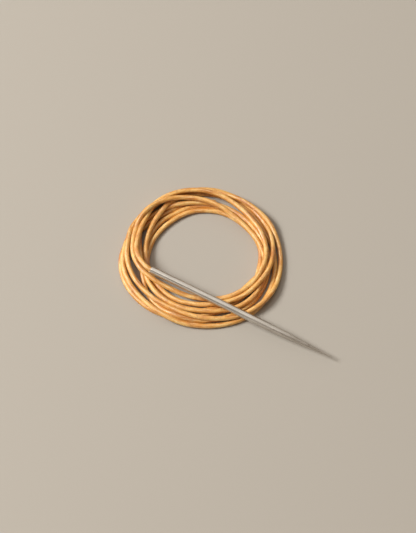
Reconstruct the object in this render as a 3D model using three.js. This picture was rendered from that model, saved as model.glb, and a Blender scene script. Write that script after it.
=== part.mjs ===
import * as THREE from "three";

// A leather lacing needle on its cord. Millimetres, +Z up.
// z = 0 is the surface that the coil lies on. Seen from above, +X runs along the needle towards its point,
// and the origin is on the coil's flat underside, below the place where the needle balances on the coil.

const degrees = Math.PI / 180;

// Needle: a turned steel rod with a threaded socket in its butt and a long tapered point.
const needleLength = 54;
const needleRadius = 1.0;
const rimRadius = 0.96;
const rimChamfer = 0.08;
const buttTaperLength = 6;
const pointLength = 20;
const pointRadius = 0.2;
const pointFullness = 1.3;
const pointSteps = 12;
const socketRadius = 0.76;
const socketDepth = 8;
const socketConeDepth = 0.45;
const needleSides = 32;

// The needle leans on the coil with its butt a little higher than its point.
const needleTilt = 3 * degrees;
const socketMouth = new THREE.Vector3(-25, 0, 4.9);

// Cord: round leather, pared down where it screws into the socket.
const cordRadius = 0.675;
const cordEndRadius = 0.66;
const cordEndLength = 6;
const cordEndNose = 0.5;
const cordSides = 8;
const cordEndSides = 20;
const gap = 0.3;

// Where the cord is not coiled: from the socket mouth over the inner turns and down onto the coil.
const leadPoints = [
  [-26.6, 0.25, 4.93],
  [-28.1, 0.9, 4.8],
  [-29.5, 1.85, 4.55],
  [-30.7, 2.95, 4.25],
  [-31.8, 4.3, 3.9],
  [-32.7, 5.8, 3.6],
  [-33.4, 7.5, 3.4],
  [-33.9, 9.3, 3.32],
  [-34.2, 11.2, 3.3],
];
const leadStep = 2 * (2 * cordRadius);

// Coil: one solid with the outer shape of the wound turns.
const coilCentre = new THREE.Vector3(-15.3, 11.0, 0);
const coilInnerRadius = 13.0;
const coilOuterRadius = 21.5;
const coilHeight = 2.3;
const coilFootRadius = 0.7;
const coilShoulderWidth = 3.0;
const coilShoulderHeight = 1.5;
const coilSides = 72;
const cornerSteps = 4;

const steel = { color: 0xb9b5ae, roughness: 0.32, metalness: 1.0 };
const leather = { color: 0xdf9a4f, roughness: 0.72, metalness: 0.0 };

function namedMesh(name, geometry, finish) {
  const mesh = new THREE.Mesh(geometry, new THREE.MeshStandardMaterial(finish));
  mesh.name = name;
  return mesh;
}

// The needle's outline from the bottom of its socket, out of the mouth and along the outside to the point.
// x is the distance from its axis and y the distance from its butt.
function needleProfile() {
  const points = [
    new THREE.Vector2(0, socketDepth + socketConeDepth),
    new THREE.Vector2(socketRadius, socketDepth),
    new THREE.Vector2(socketRadius, rimChamfer),
    new THREE.Vector2(socketRadius + rimChamfer, 0),
    new THREE.Vector2(rimRadius - rimChamfer / 2, 0),
    new THREE.Vector2(rimRadius, rimChamfer),
    new THREE.Vector2(needleRadius, buttTaperLength),
  ];
  const pointStart = needleLength - pointLength;
  const roundStart = needleLength - pointRadius;
  for (let i = 0; i <= pointSteps; i += 1) {
    const along = i / pointSteps;
    const share = Math.max(Math.cos((along * Math.PI) / 2), 0) ** pointFullness;
    const radius = pointRadius + (needleRadius - pointRadius) * share;
    points.push(new THREE.Vector2(radius, pointStart + along * (roundStart - pointStart)));
  }
  for (let i = 1; i < cornerSteps; i += 1) {
    const turn = ((i / cornerSteps) * Math.PI) / 2;
    points.push(
      new THREE.Vector2(pointRadius * Math.cos(turn), roundStart + pointRadius * Math.sin(turn)),
    );
  }
  points.push(new THREE.Vector2(0, needleLength));
  return points;
}

// The cord's pared end, with its flat face at the socket mouth and a short nose inside.
function cordEndProfile() {
  return [
    new THREE.Vector2(0, 0),
    new THREE.Vector2(cordEndRadius, 0),
    new THREE.Vector2(cordEndRadius, cordEndLength - cordEndNose),
    new THREE.Vector2(cordEndRadius - cordEndNose, cordEndLength),
    new THREE.Vector2(0, cordEndLength),
  ];
}

// A quarter of an ellipse between two corners of the coil's section.
function addCorner(points, centreX, centreY, halfWidth, halfHeight, startTurn) {
  for (let i = 0; i <= cornerSteps; i += 1) {
    const turn = startTurn + ((i / cornerSteps) * Math.PI) / 2;
    points.push(
      new THREE.Vector2(
        centreX + halfWidth * Math.cos(turn),
        centreY + halfHeight * Math.sin(turn),
      ),
    );
  }
}

// The coil's section: flat underneath and on top, with rounded feet and wide rounded shoulders.
function coilProfile() {
  const points = [];
  const outerFootX = coilOuterRadius - coilFootRadius;
  const innerFootX = coilInnerRadius + coilFootRadius;
  const outerShoulderX = coilOuterRadius - coilShoulderWidth;
  const innerShoulderX = coilInnerRadius + coilShoulderWidth;
  const shoulderY = coilHeight - coilShoulderHeight;
  addCorner(points, outerFootX, coilFootRadius, coilFootRadius, coilFootRadius, -Math.PI / 2);
  addCorner(points, outerShoulderX, shoulderY, coilShoulderWidth, coilShoulderHeight, 0);
  addCorner(points, innerShoulderX, shoulderY, coilShoulderWidth, coilShoulderHeight, Math.PI / 2);
  addCorner(points, innerFootX, coilFootRadius, coilFootRadius, coilFootRadius, Math.PI);
  points.push(points[0].clone());
  return points;
}

function cordSection() {
  const section = new THREE.Shape();
  for (let i = 0; i < cordSides; i += 1) {
    const turn = (i / cordSides) * 2 * Math.PI;
    const x = cordRadius * Math.cos(turn);
    const y = cordRadius * Math.sin(turn);
    if (i === 0) {
      section.moveTo(x, y);
    } else {
      section.lineTo(x, y);
    }
  }
  section.closePath();
  return section;
}

// The lead starts a gap away from the socket mouth, in line with the needle.
function leadPath() {
  const backwards = new THREE.Vector3(-Math.cos(needleTilt), 0, Math.sin(needleTilt));
  const start = socketMouth.clone().addScaledVector(backwards, gap);
  return new THREE.CatmullRomCurve3([start, ...leadPoints.map((p) => new THREE.Vector3(...p))]);
}

// A group whose +Y axis is the needle's axis, with its origin at the centre of the socket mouth.
function needleFrame() {
  const lean = new THREE.Group();
  lean.position.copy(socketMouth);
  lean.rotation.y = needleTilt;
  const along = new THREE.Group();
  along.rotation.z = -Math.PI / 2;
  lean.add(along);
  return { lean, along };
}

function buildNeedle() {
  return namedMesh("needle", new THREE.LatheGeometry(needleProfile(), needleSides), steel);
}

function buildCordEnd() {
  return namedMesh("cord_end", new THREE.LatheGeometry(cordEndProfile(), cordEndSides), leather);
}

function buildCordLead() {
  const path = leadPath();
  const geometry = new THREE.ExtrudeGeometry(cordSection(), {
    steps: Math.round(path.getLength() / leadStep),
    extrudePath: path,
  });
  return namedMesh("cord_lead", geometry, leather);
}

function buildCordCoil() {
  const mesh = namedMesh("cord_coil", new THREE.LatheGeometry(coilProfile(), coilSides), leather);
  mesh.rotation.x = Math.PI / 2;
  mesh.position.copy(coilCentre);
  return mesh;
}

const lacingNeedle = new THREE.Group();
const { lean, along } = needleFrame();
along.add(buildNeedle());
along.add(buildCordEnd());
lacingNeedle.add(lean);
lacingNeedle.add(buildCordLead());
lacingNeedle.add(buildCordCoil());

export default lacingNeedle;
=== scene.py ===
import math

import bpy
import numpy as np
from mathutils import Matrix, Vector


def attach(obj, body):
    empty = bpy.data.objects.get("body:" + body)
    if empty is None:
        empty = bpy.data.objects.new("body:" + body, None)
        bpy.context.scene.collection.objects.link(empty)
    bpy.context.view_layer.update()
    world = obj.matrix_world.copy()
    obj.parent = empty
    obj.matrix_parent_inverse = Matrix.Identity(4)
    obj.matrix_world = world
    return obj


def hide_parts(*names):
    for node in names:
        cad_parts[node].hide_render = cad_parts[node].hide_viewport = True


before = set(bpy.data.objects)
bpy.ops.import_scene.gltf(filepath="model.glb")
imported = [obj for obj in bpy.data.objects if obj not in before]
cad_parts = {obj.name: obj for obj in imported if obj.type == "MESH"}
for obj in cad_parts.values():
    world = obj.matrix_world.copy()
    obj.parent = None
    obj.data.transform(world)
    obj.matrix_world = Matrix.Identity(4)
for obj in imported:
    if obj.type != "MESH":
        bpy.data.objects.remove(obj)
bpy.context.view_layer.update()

# A lacing needle that is screwed onto the end of a coiled leather cord. Everything is in metres, in the
# CAD frame: z = 0 is the surface that the coil lies on, and the needle lies in the plane y = 0 and points
# towards +x.
MM = 0.001
TINY = 1e-12

# Needle.
NEEDLE_LENGTH = 54 * MM
NEEDLE_RADIUS = 1.0 * MM
RIM_RADIUS = 0.96 * MM
RIM_ROUND = 0.06 * MM
BUTT_TAPER = 6 * MM
POINT_LENGTH = 20 * MM
POINT_RADIUS = 0.2 * MM
POINT_FULLNESS = 1.3
NEEDLE_TILT = math.radians(3)
SOCKET_MOUTH = np.array([-25.0, 0.0, 4.9]) * MM
NEEDLE_AXIS = np.array([math.cos(NEEDLE_TILT), 0.0, -math.sin(NEEDLE_TILT)])

# Socket and its thread, whose height fades out over the run-in at the mouth.
SOCKET_RADIUS = 0.745 * MM
SOCKET_DEPTH = 8 * MM
SOCKET_CONE = 0.45 * MM
THREAD_PITCH = 0.5 * MM
THREAD_HEIGHT = 0.035 * MM
THREAD_RUN_IN = 1.5 * THREAD_PITCH

# Cord.
CORD_RADIUS = 0.675 * MM
CORD_DIAMETER = 2 * CORD_RADIUS
CORD_END_RADIUS = 0.64 * MM
CORD_END_LENGTH = 6 * MM
CORD_END_THREAD = 0.02 * MM
CORD_END_NOSE = 0.5 * MM
PARED_LENGTH = 1.2 * MM

# The cord from the socket mouth over the inner turns and down onto the coil, the same points as in the
# CAD.
LEAD_POINTS = np.array([
    [-26.6, 0.25, 4.93],
    [-28.1, 0.9, 4.8],
    [-29.5, 1.85, 4.55],
    [-30.7, 2.95, 4.25],
    [-31.8, 4.3, 3.9],
    [-32.7, 5.8, 3.6],
    [-33.4, 7.5, 3.4],
    [-33.9, 9.3, 3.32],
]) * MM

# Coil: how far each turn lies from the coil's centre at eight places round it, from the needle's turn to
# the last one, and then at the places that lead to the free end. The first place is at START_ANGLE, and the
# others follow clockwise, seen from above.
COIL_CENTRE = np.array([-14.65, 10.87]) * MM
START_ANGLE = math.radians(206.8)
PLACES = 8
TURNS = np.array([
    [17.9, 20.8, 20.1, 17.5, 17.2, 14.7, 12.3, 13.1],
    [19.2, 20.6, 17.1, 14.7, 17.0, 18.0, 16.0, 16.6],
    [17.1, 21.0, 20.5, 20.6, 21.2, 20.9, 18.1, 18.2],
    [21.1, 21.5, 21.1, 20.4, 18.9, 16.0, 13.9, 14.9],
    [15.8, 17.8, 20.6, 19.1, 19.6, 20.9, 19.9, 20.4],
    [22.2, 19.0, 16.8, 16.4, 17.6, 18.6, 18.4, 18.9],
    [16.4, 16.6, 16.9, 16.5, 17.4, 14.2, 15.6, 15.9],
    [16.0, 14.7, 15.5, 15.2, 16.4, 15.4, 16.8, 20.8],
]) * MM
FREE_END = np.array([22.7, 18.3, 17.0, 16.8]) * MM

CORD_BODY = "cord"
NEEDLE_BODY = "needle"


# ---------------------------------------------------------------- camera and light

CAMERA_AZIMUTH = math.radians(26.8)
CAMERA_ELEVATION = math.radians(65)
CAMERA_DISTANCE = 0.518
CAMERA_LENS = 128.3
CAMERA_TARGET = Vector((-0.01272, 0.00977, 0.0))
RIGHT = Vector((math.cos(CAMERA_AZIMUTH), math.sin(CAMERA_AZIMUTH), 0.0))
AWAY = Vector((-math.sin(CAMERA_AZIMUTH), math.cos(CAMERA_AZIMUTH), 0.0))
UP = Vector((0.0, 0.0, 1.0))

# Each area light's name, direction from the target, distance, width along the needle, height and power.
LIGHTS = [
    ("key", AWAY * 0.1 - RIGHT + UP, 1.2, 0.45, 0.45, 17.5),
    ("strip", Vector((-0.2, 0.34, 0.92)), 1.0, 0.5, 2.2, 3.3),
    ("front", Vector((-0.2, -0.96, 0.2)), 1.2, 0.6, 0.45, 0.7),
]
LIGHT_COLOUR = (1.0, 0.985, 0.96)
WORLD_COLOUR = (1.0, 0.80, 0.60)
WORLD_STRENGTH = 0.24


def add_camera():
    data = bpy.data.cameras.new("camera")
    data.lens = CAMERA_LENS
    data.clip_start = 0.01
    data.clip_end = 20.0
    camera = bpy.data.objects.new("camera", data)
    bpy.context.scene.collection.objects.link(camera)
    back = UP * math.sin(CAMERA_ELEVATION) - AWAY * math.cos(CAMERA_ELEVATION)
    camera.location = CAMERA_TARGET + back * CAMERA_DISTANCE
    camera.rotation_mode = "QUATERNION"
    camera.rotation_quaternion = (-back).to_track_quat("-Z", "Y")
    bpy.context.scene.camera = camera


def add_area_light(name, direction, distance, width, height, power):
    """The light faces the camera's target, with its width as near along the needle as it can be."""
    data = bpy.data.lights.new(name, "AREA")
    data.shape = "RECTANGLE"
    data.size = width
    data.size_y = height
    data.energy = power
    data.color = LIGHT_COLOUR
    light = bpy.data.objects.new(name, data)
    bpy.context.scene.collection.objects.link(light)
    back = direction.normalized()
    side = (Vector((1.0, 0.0, 0.0)) - back * back.x).normalized()
    turn = Matrix((side, back.cross(side), back)).transposed()
    light.matrix_world = Matrix.Translation(CAMERA_TARGET + back * distance) @ turn.to_4x4()


def add_lights():
    for light in LIGHTS:
        add_area_light(*light)
    world = bpy.data.worlds.new("studio")
    world.use_nodes = True
    background = world.node_tree.nodes["Background"]
    background.inputs["Color"].default_value = (*WORLD_COLOUR, 1.0)
    background.inputs["Strength"].default_value = WORLD_STRENGTH
    bpy.context.scene.world = world
    bpy.context.scene.view_settings.view_transform = "Standard"


# ---------------------------------------------------------------- shader helpers

# A Mix node has sockets for every type of data, and these are the ones for colours.
MIX_UNDER = 6
MIX_OVER = 7
MIX_RESULT = 2


class Tree:
    """Short ways to add nodes to a new material."""

    def __init__(self, name):
        self.material = bpy.data.materials.new(name)
        self.material.use_nodes = True
        self.nodes = self.material.node_tree.nodes
        self.links = self.material.node_tree.links
        self.shader = self.nodes["Principled BSDF"]

    def add(self, kind, **settings):
        node = self.nodes.new(kind)
        for name, value in settings.items():
            setattr(node, name, value)
        return node

    def link(self, source, target):
        self.links.new(source, target)

    def scaled(self, source, scale):
        node = self.add("ShaderNodeMapping")
        node.inputs["Scale"].default_value = scale
        self.link(source, node.inputs["Vector"])
        return node.outputs["Vector"]

    def noise(self, source, scale, detail=3.0, roughness=0.55):
        node = self.add("ShaderNodeTexNoise")
        node.inputs["Scale"].default_value = 1.0
        node.inputs["Detail"].default_value = detail
        node.inputs["Roughness"].default_value = roughness
        self.link(self.scaled(source, scale), node.inputs["Vector"])
        return node.outputs["Fac"]

    def spread(self, source, low, high, out_low=0.0, out_high=1.0):
        """Turns low to high into out_low to out_high, and stays level beyond them."""
        node = self.add("ShaderNodeMapRange")
        node.inputs["From Min"].default_value = low
        node.inputs["From Max"].default_value = high
        node.inputs["To Min"].default_value = out_low
        node.inputs["To Max"].default_value = out_high
        self.link(source, node.inputs["Value"])
        return node.outputs["Result"]

    def ramp(self, source, stops):
        node = self.add("ShaderNodeValToRGB")
        elements = node.color_ramp.elements
        while len(elements) < len(stops):
            elements.new(0.5)
        for element, (place, colour) in zip(elements, stops):
            element.position = place
            element.color = (*colour, 1.0)
        self.link(source, node.inputs["Fac"])
        return node.outputs["Color"]

    def tint(self, factor, source, colour):
        """Lays a plain colour over the source's, as strongly as the factor says."""
        node = self.add("ShaderNodeMix", data_type="RGBA")
        self.link(factor, node.inputs["Factor"])
        self.link(source, node.inputs[MIX_UNDER])
        node.inputs[MIX_OVER].default_value = (*colour, 1.0)
        return node.outputs[MIX_RESULT]

    def bump(self, height, strength, distance, normal=None):
        node = self.add("ShaderNodeBump")
        node.inputs["Strength"].default_value = strength
        node.inputs["Distance"].default_value = distance
        self.link(height, node.inputs["Height"])
        if normal is not None:
            self.link(normal, node.inputs["Normal"])
        return node.outputs["Normal"]

    def plug(self, name, source):
        self.link(source, self.shader.inputs[name])

    def set(self, name, value):
        self.shader.inputs[name].default_value = value


# ---------------------------------------------------------------- mesh helpers

SHARP_ANGLE = math.radians(50)


def smooth_mesh(name, vertices, faces):
    mesh = bpy.data.meshes.new(name)
    mesh.from_pydata(vertices, [], faces)
    mesh.polygons.foreach_set("use_smooth", [True] * len(mesh.polygons))
    mesh.set_sharp_from_angle(angle=SHARP_ANGLE)
    mesh.update()
    return mesh


def add_object(mesh, material):
    piece = bpy.data.objects.new(mesh.name, mesh)
    bpy.context.scene.collection.objects.link(piece)
    mesh.materials.append(material)
    return piece


# ---------------------------------------------------------------- cord: its route

DENSE_STEPS = 24

# Places are counted on from turn to turn. The coil starts at the first turn's second place, where the lead
# comes down on it, and ends between two of the free end's.
FIRST_PLACE = 1.0
LAST_PLACE = len(TURNS) * PLACES + 2.3
GUIDE_STEP = 0.25
LAYER_DROP = 0.45 * MM

# The coil starts lower than its layer, and is back in it at this place.
FIRST_DIP = 0.3 * MM
DIP_END = 3

# Where the second turn crosses over the first, and the fourth over the second: the height, the place where
# the rise starts, the places that it takes, the place where the fall ends, and the places that it takes.
LIFTS = [
    (1.4 * MM, 7.0, 1.2, 13.0, 0.8),
    (2.6 * MM, 27.5, 0.8, 29.5, 0.8),
]


def smooth(value):
    """A smooth step from 0 to 1, level before and after it."""
    value = np.clip(value, 0, 1)
    return value * value * (3 - 2 * value)


def catmull_rom(values, at):
    """The smooth curve through a row of numbers or points, worked out at the given positions along it."""
    last = len(values) - 1
    index = np.clip(np.floor(at).astype(int), 0, last - 1)
    share = at - index
    if values.ndim == 2:
        share = share[:, None]
    before = values[np.clip(index - 1, 0, last)]
    start = values[index]
    end = values[index + 1]
    after = values[np.clip(index + 2, 0, last)]
    return 0.5 * (
        2 * start
        + (end - before) * share
        + (2 * before - 5 * start + 4 * end - after) * share**2
        + (3 * start - before - 3 * end + after) * share**3
    )


def lengths_along(points):
    """Each point's distance from the first one, along them all."""
    steps = np.linalg.norm(np.diff(points, axis=0), axis=1)
    return np.concatenate([[0.0], np.cumsum(steps)])


def evenly_spaced(points, step):
    """Points a step apart along the smooth curve through the given ones."""
    dense = catmull_rom(points, np.linspace(0, len(points) - 1, len(points) * DENSE_STEPS))
    along = lengths_along(dense)
    at = np.linspace(0, along[-1], round(along[-1] / step) + 1)
    return np.stack([np.interp(at, along, dense[:, axis]) for axis in range(3)], axis=1)


def guide_route():
    """The route before it settles: each turn is laid a little lower than the one before it, apart from the
    dip and the lifts."""
    radii = np.concatenate([TURNS.ravel(), FREE_END])
    place = np.arange(FIRST_PLACE, LAST_PLACE, GUIDE_STEP)
    radius = catmull_rom(radii, place)
    angle = START_ANGLE - place * 2 * math.pi / PLACES
    lift = np.zeros(len(place))
    for height, rise_start, rise, fall_end, fall in LIFTS:
        lift += height * smooth((place - rise_start) / rise) * smooth((fall_end - place) / fall)
    x = COIL_CENTRE[0] + radius * np.cos(angle)
    y = COIL_CENTRE[1] + radius * np.sin(angle)
    layer = CORD_RADIUS + LAYER_DROP * (LAST_PLACE - place) / PLACES
    z = layer + lift - FIRST_DIP * smooth(DIP_END - place)
    coil = np.stack([x, y, z], axis=1)
    inner_end = SOCKET_MOUTH + NEEDLE_AXIS * CORD_END_LENGTH
    return np.concatenate([[inner_end], [SOCKET_MOUTH], LEAD_POINTS, coil])


SETTLE_STEP = 0.5 * MM
SETTLE_ROUNDS = 900

# The cord's first stretch is fixed, and over the next one the pull back to its lane grows from nothing.
FIXED_LENGTH = CORD_END_LENGTH + 9 * MM
GRIP_LENGTH = 12 * MM

# What a round does to each point, in the early rounds and after LATE_START: how far it sinks, and the
# shares by which it is drawn back to its lane and straightened in x, y and z.
EARLY = (0.02 * MM, 0.15, np.array([0.05, 0.05, 0.25]))
LATE = (0.004 * MM, 0.05, np.array([0.03, 0.03, 0.10]))
LATE_START = SETTLE_ROUNDS * 0.75
BEND_SPAN = 5
SMOOTHING = 0.3

# Contacts between the turns, which are looked for afresh once every PAIR_ROUNDS.
PAIR_ROUNDS = 15
PAIR_REACH = CORD_DIAMETER * 1.6
PAIR_BLOCK = 400
NEIGHBOUR_GAP = round(2.2 * CORD_DIAMETER / SETTLE_STEP)
CONTACT_ROUNDS = 3
PUSH_STRENGTH = 1.2

# The needle starts above its place, and is down in it after NEEDLE_DOWN rounds.
NEEDLE_START_HEIGHT = 3 * MM
NEEDLE_DOWN = SETTLE_ROUNDS * 0.5
NEEDLE_MARGIN = 0.12 * MM
BUTT_MARGIN = 0.2 * MM

SOFTEN_REACH = 8
SOFTEN_SPREAD = 2.4


def near_pairs(points):
    """Pairs of points within PAIR_REACH that aren't neighbours along the cord."""
    found = []
    small = points.astype(np.float32)
    for start in range(0, len(small), PAIR_BLOCK):
        gap = small[start:start + PAIR_BLOCK, None, :] - small[None, :, :]
        first, second = np.nonzero((gap**2).sum(axis=2) < PAIR_REACH * PAIR_REACH)
        first = first + start
        keep = second - first > NEIGHBOUR_GAP
        found.append(np.stack([first[keep], second[keep]], axis=1))
    return np.concatenate(found)


def push_apart(points, pairs, free):
    """Moves points that are nearer than a diameter away from each other. Deeper contacts weigh more."""
    first, second = pairs[:, 0], pairs[:, 1]
    gap = points[second] - points[first]
    distance = np.linalg.norm(gap, axis=1)
    hit = distance < CORD_DIAMETER
    first, second, gap, distance = first[hit], second[hit], gap[hit], distance[hit]
    depth = CORD_DIAMETER - distance
    move = gap / np.maximum(distance, TINY)[:, None] * (depth * depth)[:, None]
    share = free[first] / np.maximum(free[first] + free[second], TINY)
    push = np.zeros_like(points)
    weight = np.zeros(len(points))
    np.add.at(push, first, -move * share[:, None])
    np.add.at(push, second, move * (1 - share)[:, None])
    np.add.at(weight, first, depth)
    np.add.at(weight, second, depth)
    points += push / np.maximum(weight, TINY)[:, None] * PUSH_STRENGTH


def push_off_needle(points, free, raised):
    """Keeps the cord clear of the needle, which comes down onto the coil from raised above its place."""
    offset = points - SOCKET_MOUTH - np.array([0.0, 0.0, raised])
    along = offset @ NEEDLE_AXIS
    away = offset - np.outer(along, NEEDLE_AXIS)
    distance = np.linalg.norm(away, axis=1)
    reach = CORD_RADIUS + NEEDLE_RADIUS + NEEDLE_MARGIN
    hit = (along > -BUTT_MARGIN) & (along < NEEDLE_LENGTH) & (distance < reach) & (free > 0)
    points[hit] += away[hit] * (reach / np.maximum(distance[hit], TINY) - 1)[:, None]


def straighten(points, free, pull):
    """Draws each point towards the middle between those BEND_SPAN away, which opens its bend, and then
    towards the middle between its neighbours, which smooths it."""
    wide = (points[:-2 * BEND_SPAN] + points[2 * BEND_SPAN:]) / 2
    middle = points[BEND_SPAN:-BEND_SPAN]
    middle += (wide - middle) * pull * free[BEND_SPAN:-BEND_SPAN, None]
    close = (points[:-2] + points[2:]) / 2
    points[1:-1] += (close - points[1:-1]) * SMOOTHING * free[1:-1, None]


def settle_cord():
    """Lets the cord sink onto the surface and its own turns, which keep a diameter apart."""
    points = evenly_spaced(guide_route(), SETTLE_STEP)
    along = np.arange(len(points)) * SETTLE_STEP
    free = (along > FIXED_LENGTH).astype(float)
    grip = np.clip((along - FIXED_LENGTH) / GRIP_LENGTH, 0, 1)
    moving = free > 0
    lane = points[:, :2].copy()
    for count in range(SETTLE_ROUNDS):
        if count % PAIR_ROUNDS == 0:
            pairs = near_pairs(points)
        sink, hold, pull = LATE if count > LATE_START else EARLY
        points[moving, 2] -= sink
        points[:, :2] += (lane - points[:, :2]) * (hold * grip)[:, None]
        straighten(points, free, pull)
        raised = NEEDLE_START_HEIGHT * max(0.0, 1 - count / NEEDLE_DOWN)
        for _ in range(CONTACT_ROUNDS):
            push_apart(points, pairs, free)
            push_off_needle(points, free, raised)
            points[moving, 2] = np.maximum(points[moving, 2], CORD_RADIUS)
    return soften(points, free)


def soften(points, free):
    """Rounds off the small kinks that the contacts leave, outside the fixed stretch and the free end."""
    weights = np.exp(-0.5 * (np.arange(-SOFTEN_REACH, SOFTEN_REACH + 1) / SOFTEN_SPREAD) ** 2)
    weights /= weights.sum()
    padded = np.pad(points, ((SOFTEN_REACH, SOFTEN_REACH), (0, 0)), mode="edge")
    columns = [np.convolve(column, weights, mode="valid") for column in padded.T]
    softened = np.stack(columns, axis=1)
    share = np.convolve(np.pad(free, SOFTEN_REACH, mode="edge"), weights, mode="valid")[:, None]
    share[-SOFTEN_REACH:] = 0
    return points + (softened - points) * share


# ---------------------------------------------------------------- cord: its surface

# The rings are FINE_RINGS times as close over the threaded end.
RING_STEP = 0.3 * MM
FINE_RINGS = 4
FINE_LENGTH = 7.2 * MM
CORD_SIDES = 24

# The skin's waves: height, length of a cell in rings, number of cells round the cord, and random seed. They
# are flatter on the pared end.
SKIN_WAVES = [
    (0.018 * MM, 14, 3, 1),
    (0.012 * MM, 4.3, 7, 2),
    (0.006 * MM, 1.6, 12, 3),
    (0.010 * MM, 60, 4, 4),
]
SKIN_RADIUS = CORD_RADIUS - 0.01 * MM
PARED_SKIN = 0.25

# The radius at the two ends, as shares of the cord's, and the length over which the cut end's edge is worn.
NOSE_SHARE = 0.45
CUT_SHARE = 0.90
CUT_WEAR = 0.3 * MM


def relief(rows, columns, row_cell, column_cells, seed):
    """Smooth random heights from -1 to 1 over a grid that closes on itself round the cord."""
    random = np.random.default_rng(seed)
    knots = random.uniform(-1, 1, (int(rows / row_cell) + 3, column_cells))
    row_at = np.arange(rows) / row_cell
    column_at = np.arange(columns) / columns * column_cells
    row = np.floor(row_at).astype(int)
    column = np.floor(column_at).astype(int)
    row_share = smooth(row_at - row)[:, None]
    column_share = smooth(column_at - column)[None, :]
    right = (column + 1) % column_cells
    top = knots[row][:, column] * (1 - column_share) + knots[row][:, right] * column_share
    below = knots[row + 1][:, column] * (1 - column_share) + knots[row + 1][:, right] * column_share
    return top * (1 - row_share) + below * row_share


def ring_centres(points):
    """The centre of each ring along the route."""
    fine = evenly_spaced(points, RING_STEP / FINE_RINGS)
    changeover = round(FINE_LENGTH / (RING_STEP / FINE_RINGS))
    return np.concatenate([fine[:changeover], fine[changeover::FINE_RINGS]])


def ring_frames(path):
    """Two directions across the cord at each ring, carried along it without twisting."""
    tangent = np.gradient(path, axis=0)
    tangent /= np.linalg.norm(tangent, axis=1)[:, None]
    side = np.empty_like(path)
    current = np.cross(tangent[0], [0.0, 0.0, 1.0])
    for i, direction in enumerate(tangent):
        current = current - direction * (current @ direction)
        current = current / np.linalg.norm(current)
        side[i] = current
    return side, np.cross(tangent, side)


def cord_radii(along, turn):
    """The skin's distance from the centreline, with a row for each ring and a column for each side."""
    pared = smooth((along - CORD_END_LENGTH) / PARED_LENGTH)[:, None]
    wave = np.cos(turn[None, :] - 2 * math.pi * along[:, None] / THREAD_PITCH)
    plain = CORD_END_RADIUS + (SKIN_RADIUS - CORD_END_RADIUS) * pared
    radius = plain + CORD_END_THREAD * wave * (1 - pared)
    skin = np.zeros(radius.shape)
    for height, row_cell, column_cells, seed in SKIN_WAVES:
        skin += height * relief(len(along), len(turn), row_cell, column_cells, seed)
    radius += skin * (PARED_SKIN + (1 - PARED_SKIN) * pared)
    from_nose = np.clip(along / CORD_END_NOSE, 0, 1)[:, None]
    radius *= NOSE_SHARE + (1 - NOSE_SHARE) * np.sqrt(1 - (1 - from_nose) ** 2)
    from_cut = np.clip((along[-1] - along) / CUT_WEAR, 0, 1)[:, None]
    return radius * (CUT_SHARE + (1 - CUT_SHARE) * from_cut)


def tube_faces(rows):
    """Quads between the rings, and a fan of triangles over each end round a point that comes after them.
    All of them face out."""
    row = np.arange(rows - 1)[:, None] * CORD_SIDES
    column = np.arange(CORD_SIDES)[None, :]
    following = (column + 1) % CORD_SIDES
    corners = [row + column, row + following, row + CORD_SIDES + following, row + CORD_SIDES + column]
    faces = np.stack(corners, axis=-1).reshape(-1, 4).tolist()
    last_ring = (rows - 1) * CORD_SIDES
    first_hub = rows * CORD_SIDES
    last_hub = first_hub + 1
    for i in range(CORD_SIDES):
        after = (i + 1) % CORD_SIDES
        faces.append([first_hub, after, i])
        faces.append([last_hub, last_ring + i, last_ring + after])
    return faces


def cord_mesh(path):
    """The cord's skin. Its attribute straight says where each point would be if the cord lay along x, so
    that the leather's grain follows the cord."""
    side, up = ring_frames(path)
    along = lengths_along(path)
    turn = np.arange(CORD_SIDES) / CORD_SIDES * 2 * math.pi
    radius = cord_radii(along, turn)
    across = radius * np.cos(turn)
    above = radius * np.sin(turn)
    rings = path[:, None] + across[:, :, None] * side[:, None] + above[:, :, None] * up[:, None]
    vertices = np.concatenate([rings.reshape(-1, 3), path[[0, -1]]])
    mesh = smooth_mesh("leather_cord", vertices.tolist(), tube_faces(len(path)))
    on_rings = np.stack([np.repeat(along, CORD_SIDES), across.ravel(), above.ravel()], axis=1)
    on_hubs = np.array([[0.0, 0.0, 0.0], [along[-1], 0.0, 0.0]])
    straight = np.concatenate([on_rings, on_hubs]).astype(np.float32)
    attribute = mesh.attributes.new("straight", "FLOAT_VECTOR", "POINT")
    attribute.data.foreach_set("vector", straight.ravel())
    return mesh


TAN_DARK = (0.50, 0.165, 0.010)
TAN = (0.68, 0.300, 0.032)
TAN_LIGHT = (0.80, 0.460, 0.110)
FIBRE_COLOUR = (0.88, 0.64, 0.28)
PORE_COLOUR = (0.34, 0.095, 0.006)
# Painted shade that darkens the creases' grooves.
CREASE_SHADE_COLOUR = (0.34, 0.100, 0.008)
SHEEN_TINT = (1.0, 0.85, 0.65)


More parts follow.
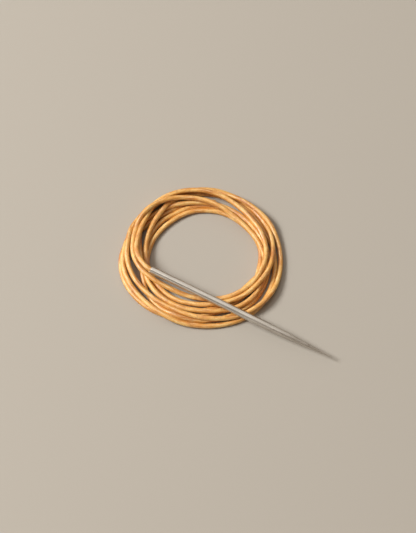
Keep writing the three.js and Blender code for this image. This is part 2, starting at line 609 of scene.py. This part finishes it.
def leather():
    tree = Tree("tan_leather")
    straight = tree.add("ShaderNodeAttribute", attribute_name="straight").outputs["Vector"]
    mottle = tree.noise(straight, (200, 900, 900), detail=4)
    colour = tree.ramp(mottle, [(0.34, TAN_DARK), (0.50, TAN), (0.66, TAN_LIGHT)])
    fibres = tree.noise(straight, (420, 3600, 3600), detail=2)
    colour = tree.tint(tree.spread(fibres, 0.50, 0.70, 0.0, 0.75), colour, FIBRE_COLOUR)
    pores = tree.noise(straight, (2600, 2600, 2600), detail=2)
    colour = tree.tint(tree.spread(pores, 0.56, 0.76, 0.0, 0.6), colour, PORE_COLOUR)
    creases = tree.noise(straight, (900, 700, 700), detail=2)
    # Painted shade: the creases, which the bump below sinks in, are darkened in the base colour.
    colour = tree.tint(tree.spread(creases, 0.56, 0.74, 0.0, 0.45), colour, CREASE_SHADE_COLOUR)
    tree.plug("Base Color", colour)
    tree.plug("Roughness", tree.spread(mottle, 0.3, 0.7, 0.48, 0.62))
    tree.set("IOR", 1.6)
    tree.set("Specular IOR Level", 1.0)
    tree.set("Sheen Weight", 0.05)
    tree.set("Sheen Roughness", 0.5)
    tree.set("Sheen Tint", (*SHEEN_TINT, 1.0))
    normal = tree.bump(pores, 0.35, 0.06 * MM)
    normal = tree.bump(fibres, 0.25, 0.04 * MM, normal)
    normal = tree.bump(tree.spread(creases, 0.56, 0.74), -0.3, 0.05 * MM, normal)
    tree.plug("Normal", normal)
    return tree.material


def add_cord():
    path = ring_centres(settle_cord())
    cord = add_object(cord_mesh(path), leather())
    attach(cord, CORD_BODY)
    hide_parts("cord_coil", "cord_lead", "cord_end")


# ---------------------------------------------------------------- needle

# How finely each stretch of the outline and the socket is divided. The tip's arc stops TIP_LAST_ANGLE
# degrees short of the axis.
NEEDLE_SIDES = 80
RIM_STEPS = 4
BUTT_STEPS = 12
SHANK_STEPS = 14
POINT_STEPS = 48
TIP_STEPS = 8
TIP_LAST_ANGLE = 8
STEPS_PER_PITCH = 8


def arc(centre_x, centre_y, radius, start, end, steps):
    """Points of an arc, angles in degrees."""
    found = []
    for i in range(steps + 1):
        angle = math.radians(start + (end - start) * i / steps)
        found.append((centre_x + radius * math.cos(angle), centre_y + radius * math.sin(angle)))
    return found


def needle_outline():
    """(distance from the butt, radius) from the mouth's inner edge along the outside to the point."""
    inner_centre = SOCKET_RADIUS + THREAD_HEIGHT + RIM_ROUND
    outline = arc(RIM_ROUND, inner_centre, RIM_ROUND, 270, 180, RIM_STEPS)
    outline += arc(RIM_ROUND, RIM_RADIUS - RIM_ROUND, RIM_ROUND, 180, 90, RIM_STEPS)
    for i in range(1, BUTT_STEPS + 1):
        share = i / BUTT_STEPS
        swell = math.sin(share * math.pi / 2)
        outline.append((BUTT_TAPER * share, RIM_RADIUS + (NEEDLE_RADIUS - RIM_RADIUS) * swell))
    point_start = NEEDLE_LENGTH - POINT_LENGTH
    for i in range(1, SHANK_STEPS):
        outline.append((BUTT_TAPER + (point_start - BUTT_TAPER) * i / SHANK_STEPS, NEEDLE_RADIUS))
    tip_centre = NEEDLE_LENGTH - POINT_RADIUS
    for i in range(POINT_STEPS + 1):
        share = i / POINT_STEPS
        fullness = max(math.cos(share * math.pi / 2), 0) ** POINT_FULLNESS
        radius = POINT_RADIUS + (NEEDLE_RADIUS - POINT_RADIUS) * fullness
        outline.append((point_start + share * (tip_centre - point_start), radius))
    return outline + arc(tip_centre, 0, POINT_RADIUS, 90, TIP_LAST_ANGLE, TIP_STEPS)[1:]


def socket_rings(turn):
    """(distance from the butt, radii) from the socket's bottom out to its mouth, with its thread."""
    rings = []
    depth = SOCKET_DEPTH - RIM_ROUND
    steps = round(depth / (THREAD_PITCH / STEPS_PER_PITCH))
    for i in range(steps, 0, -1):
        x = RIM_ROUND + depth * i / steps
        cut = min((x - RIM_ROUND) / THREAD_RUN_IN, 1.0)
        wave = np.cos(turn - 2 * math.pi * x / THREAD_PITCH)
        rings.append((x, SOCKET_RADIUS + THREAD_HEIGHT * (1 - cut) + THREAD_HEIGHT * cut * wave))
    return rings


def needle_mesh():
    """The socket's rings and then the outline's, closed by the socket's cone and by the tip."""
    turn = np.arange(NEEDLE_SIDES) / NEEDLE_SIDES * 2 * math.pi
    rings = socket_rings(turn)
    rings += [(x, np.full(NEEDLE_SIDES, radius)) for x, radius in needle_outline()]
    vertices = []
    for x, radii in rings:
        vertices += [(x, r * math.cos(angle), r * math.sin(angle)) for r, angle in zip(radii, turn)]
    last_ring = (len(rings) - 1) * NEEDLE_SIDES
    bottom = len(vertices)
    tip = bottom + 1
    vertices.append((SOCKET_DEPTH + SOCKET_CONE, 0, 0))
    vertices.append((NEEDLE_LENGTH, 0, 0))
    faces = []
    for i in range(NEEDLE_SIDES):
        following = (i + 1) % NEEDLE_SIDES
        for start in range(0, last_ring, NEEDLE_SIDES):
            end = start + NEEDLE_SIDES
            faces.append((start + following, end + following, end + i, start + i))
        faces.append((following, i, bottom))
        faces.append((tip, last_ring + i, last_ring + following))
    return smooth_mesh("lacing_needle", vertices, faces)


STEEL_DARK = (0.52, 0.485, 0.435)
STEEL_LIGHT = (0.64, 0.605, 0.555)
STEEL_LINE = (0.40, 0.365, 0.32)


def satin_steel():
    tree = Tree("satin_steel")
    place = tree.add("ShaderNodeTexCoord").outputs["Object"]
    lines = tree.noise(place, (60, 9000, 9000), detail=3, roughness=0.6)
    cloud = tree.noise(place, (220, 900, 900), detail=3)
    colour = tree.ramp(cloud, [(0.35, STEEL_DARK), (0.65, STEEL_LIGHT)])
    colour = tree.tint(tree.spread(lines, 0.55, 0.8, 0.0, 0.35), colour, STEEL_LINE)
    tree.plug("Base Color", colour)
    tree.set("Metallic", 1.0)
    tree.plug("Roughness", tree.spread(lines, 0.3, 0.7, 0.24, 0.36))
    tree.plug("Normal", tree.bump(lines, 0.12, 0.02 * MM))
    return tree.material


def add_needle():
    needle = add_object(needle_mesh(), satin_steel())
    needle.matrix_world = Matrix.Translation(SOCKET_MOUTH) @ Matrix.Rotation(NEEDLE_TILT, 4, "Y")
    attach(needle, NEEDLE_BODY)
    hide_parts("needle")


# ---------------------------------------------------------------- floor

FLOOR_SIZE = 6.0
FLOOR_COLOUR = (0.42, 0.39, 0.345)


def add_floor():
    bpy.ops.mesh.primitive_plane_add(size=FLOOR_SIZE, location=(0.0, 0.0, 0.0))
    floor = bpy.context.object
    floor.name = "floor"
    tree = Tree("pale_floor")
    tree.set("Base Color", (*FLOOR_COLOUR, 1.0))
    tree.set("Roughness", 0.9)
    tree.set("Specular IOR Level", 0.15)
    floor.data.materials.append(tree.material)


add_camera()
add_cord()
add_needle()
add_floor()
add_lights()
